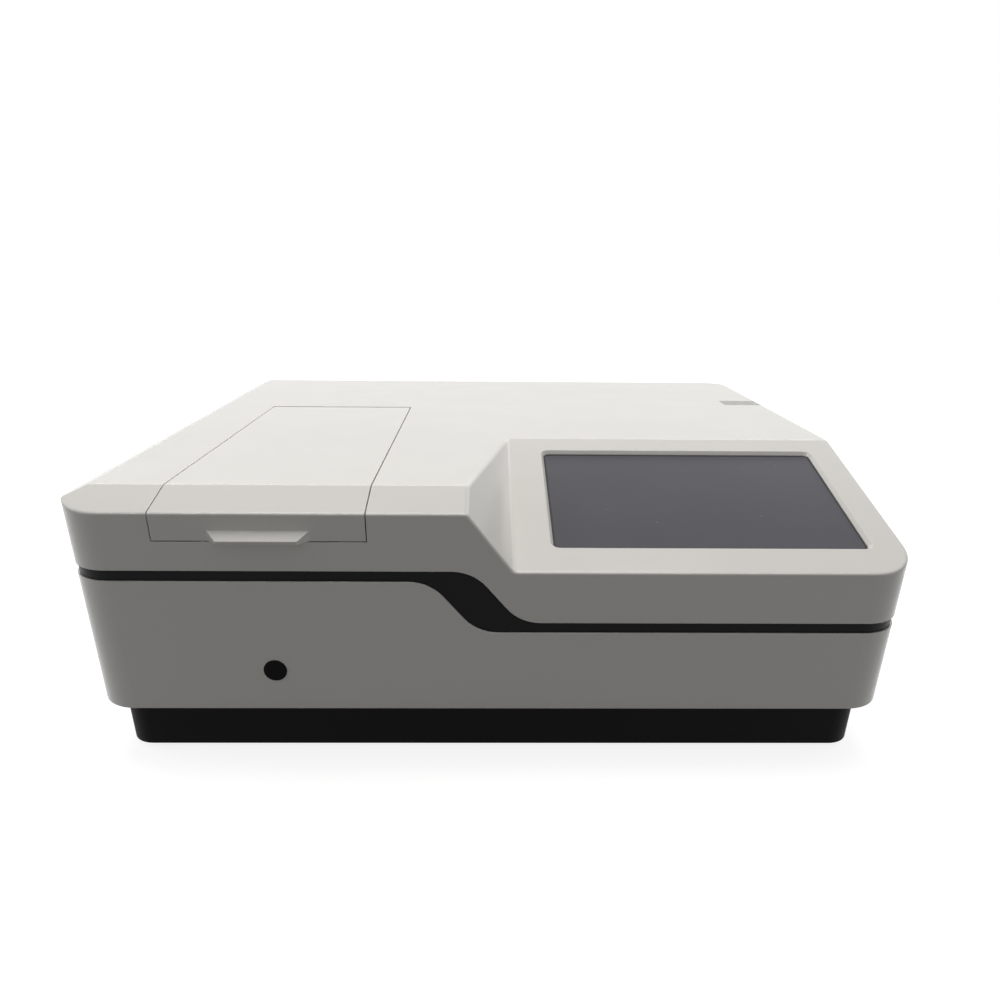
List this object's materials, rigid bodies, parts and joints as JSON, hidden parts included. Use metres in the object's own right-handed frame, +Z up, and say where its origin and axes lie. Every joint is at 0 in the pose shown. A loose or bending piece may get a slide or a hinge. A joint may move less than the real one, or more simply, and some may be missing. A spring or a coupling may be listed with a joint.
{
  "type": "double beam spectrophotometer",
  "caption": "Bench double beam spectrophotometer with a hinged sample lid, sloped touch screen, S-curved black trim band and its optics inside.",
  "frame": {"origin": "on the table under the centre of the overall box, lid lip and rear fittings included", "axes": "+X to the right of the person at the instrument, +Y towards its rear, +Z up"},
  "size_m": [0.584, 0.495, 0.2055],
  "materials": {
    "casing_grey": "satin moulded plastic",
    "trim_black": "satin black",
    "plinth_black": "matt black paint",
    "black_rubber": "matt",
    "steel": "zinc plated",
    "plug_black": "matt",
    "tub_black": "matt black",
    "clear_glass": "polished",
    "black_metal": "black anodised",
    "screen_glass": "dark glossy screen",
    "module_black": "matt",
    "circuit_green": "circuit board",
    "bench_metal": "cast and machined",
    "ceramic_white": "unglazed",
    "motor_metal": "black with bare ends",
    "mirror_metal": "front coated",
    "brass": "turned",
    "panel_metal": "grey paint",
    "rocker_black": "gloss",
    "supply_metal": "folded sheet"
  },
  "bodies": {
    "chassis": {"upper_shell": "casing_grey", "lower_shell": "casing_grey", "trim_band": "trim_black", "base_tray": "plinth_black", "rubber_feet": "black_rubber", "foot_screws": "steel", "port_plug": "plug_black", "lid_hinge_brackets": "steel", "lid_hinge_pins": "steel", "lid_seal": "black_rubber", "compartment_tub": "tub_black", "beam_windows": "clear_glass", "cell_base_plate": "black_metal", "cell_holders": "black_metal", "touch_glass": "screen_glass", "display_module": "module_black", "display_frame": "steel", "display_board": "circuit_green", "optical_bench": "bench_metal", "bench_mounts": "black_rubber", "lamp_house": "steel", "lamp_sockets": "ceramic_white", "deuterium_lamp": "clear_glass", "halogen_lamp": "clear_glass", "source_mirror_motor": "motor_metal", "filter_motor_bracket": "bench_metal", "filter_wheel_motor": "motor_metal", "entrance_slit": "black_metal", "exit_slit": "black_metal", "collimating_mirror": "mirror_metal", "focusing_mirror": "mirror_metal", "mirror_mounts": "black_metal", "grating_bearing": "steel", "grating_motor": "motor_metal", "fold_mirrors": "mirror_metal", "fold_mirror_mounts": "black_metal", "beam_splitter": "clear_glass", "splitter_mount": "black_metal", "detector_lenses": "clear_glass", "lens_mounts": "black_metal", "beam_detectors": "black_metal", "preamp_board": "circuit_green", "rear_panel": "panel_metal", "mains_inlet": "module_black", "inlet_blades": "brass", "fuse_drawer": "module_black", "data_sockets": "steel", "fan_frame": "module_black", "power_supply": "supply_metal", "board_standoffs": "brass", "main_board": "circuit_green"},
    "lid": {"sample_lid": "casing_grey"},
    "mirror_arm": {"source_mirror": "mirror_metal"},
    "filters": {"filter_wheel": "black_metal", "filter_glasses": "clear_glass"},
    "turntable": {"grating_turntable": "bench_metal", "grating": "mirror_metal"},
    "pinion": {"grating_pinion": "brass"},
    "rotor": {"fan_rotor": "module_black"},
    "rocker": {"power_rocker": "rocker_black"}
  },
  "joints": [
    {"name": "lid_hinge", "type": "hinge", "parent": "chassis", "child": "lid", "pos_m": [-0.155, 0.063, 0.1995], "axis": [-1, 0, 0], "range_deg": [0, 95]},
    {"name": "power_rocker_tilt", "type": "hinge", "parent": "chassis", "child": "rocker", "pos_m": [-0.225, 0.2443, 0.1131], "axis": [1, 0, 0], "range_deg": [-18, 0]},
    {"name": "fan_spin", "type": "hinge", "parent": "chassis", "child": "rotor", "pos_m": [-0.125, 0.2305, 0.0966], "axis": [0, 1, 0], "continuous": true},
    {"name": "grating_turn", "type": "hinge", "parent": "chassis", "child": "turntable", "pos_m": [0.028, 0.0905, 0.0888], "axis": [0, 0, 1], "range_deg": [-20, 20]},
    {"name": "grating_drive", "type": "hinge", "parent": "chassis", "child": "pinion", "pos_m": [0.06585, 0.0905, 0.0888], "axis": [0, 0, 1], "range_deg": [-82, 82]},
    {"name": "filter_wheel_turn", "type": "hinge", "parent": "chassis", "child": "filters", "pos_m": [0.14, 0.0125, 0.1488], "axis": [1, 0, 0], "continuous": true},
    {"name": "source_mirror_turn", "type": "hinge", "parent": "chassis", "child": "mirror_arm", "pos_m": [0.205, 0.0125, 0.0888], "axis": [0, 0, 1], "range_deg": [-45, 0]}
  ],
  "couplings": [
    {"joint": "grating_drive", "follows": "grating_turn", "ratio": -4}
  ]
}
